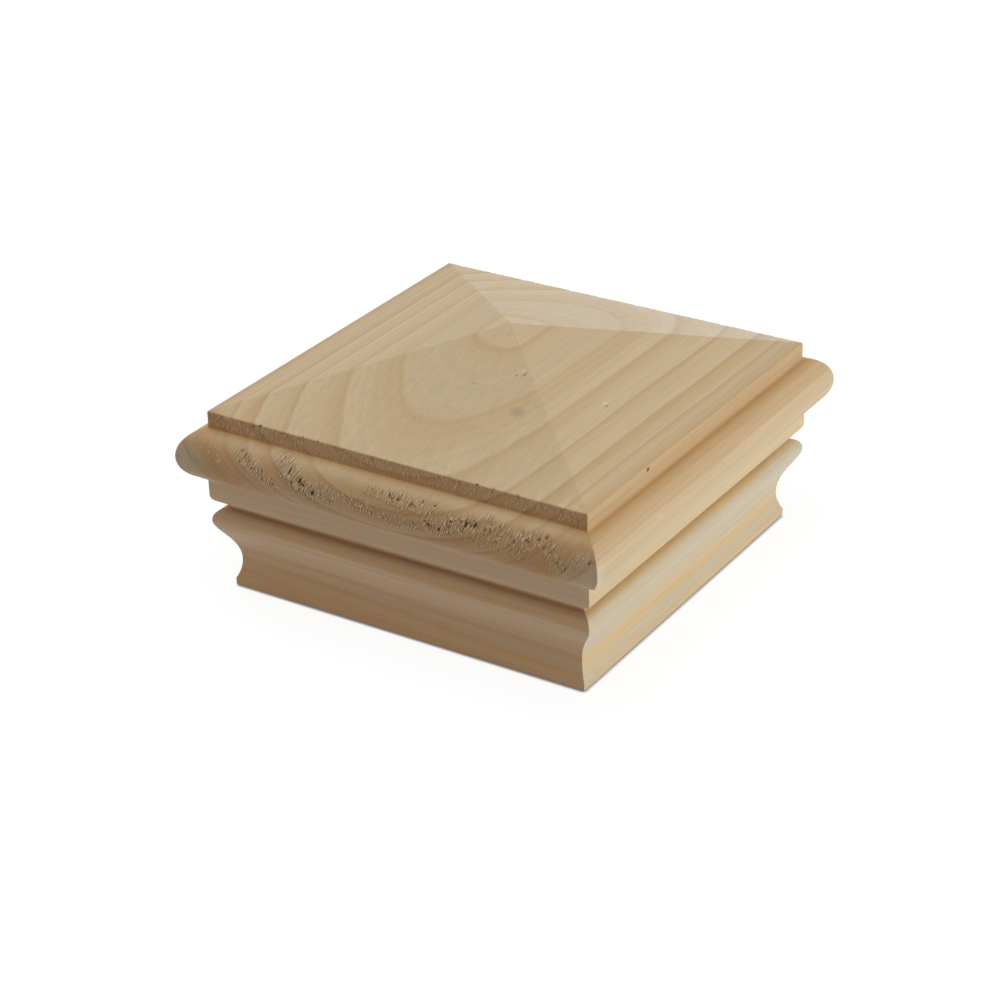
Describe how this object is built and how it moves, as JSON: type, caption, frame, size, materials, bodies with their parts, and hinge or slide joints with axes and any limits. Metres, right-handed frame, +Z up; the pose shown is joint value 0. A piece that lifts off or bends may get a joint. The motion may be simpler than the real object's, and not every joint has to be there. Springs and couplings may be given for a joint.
{
  "type": "pyramid post cap",
  "caption": "Low pyramid cap for a square post: a milled wooden block with a half-round edge on a mitred moulding frame that slips over the post.",
  "frame": {"origin": "centre of the moulding frame's foot, on the surface that the cap stands on", "axes": "+Z up through the pyramid's point; the block's grain runs along Y, so -Y and +Y are its end-grain edges and +X and -X its long-grain edges"},
  "size_m": [0.1396, 0.1396, 0.0741],
  "materials": {
    "pine_block": "milled bare softwood, end grain on two sides",
    "pine_moulding": "planed bare softwood, straight grain",
    "brad_steel": "bright wire"
  },
  "bodies": {
    "root": {"cap_block": "pine_block", "moulding_front": "pine_moulding", "moulding_right": "pine_moulding", "moulding_back": "pine_moulding", "moulding_left": "pine_moulding", "brads": "brad_steel"}
  },
  "joints": []
}
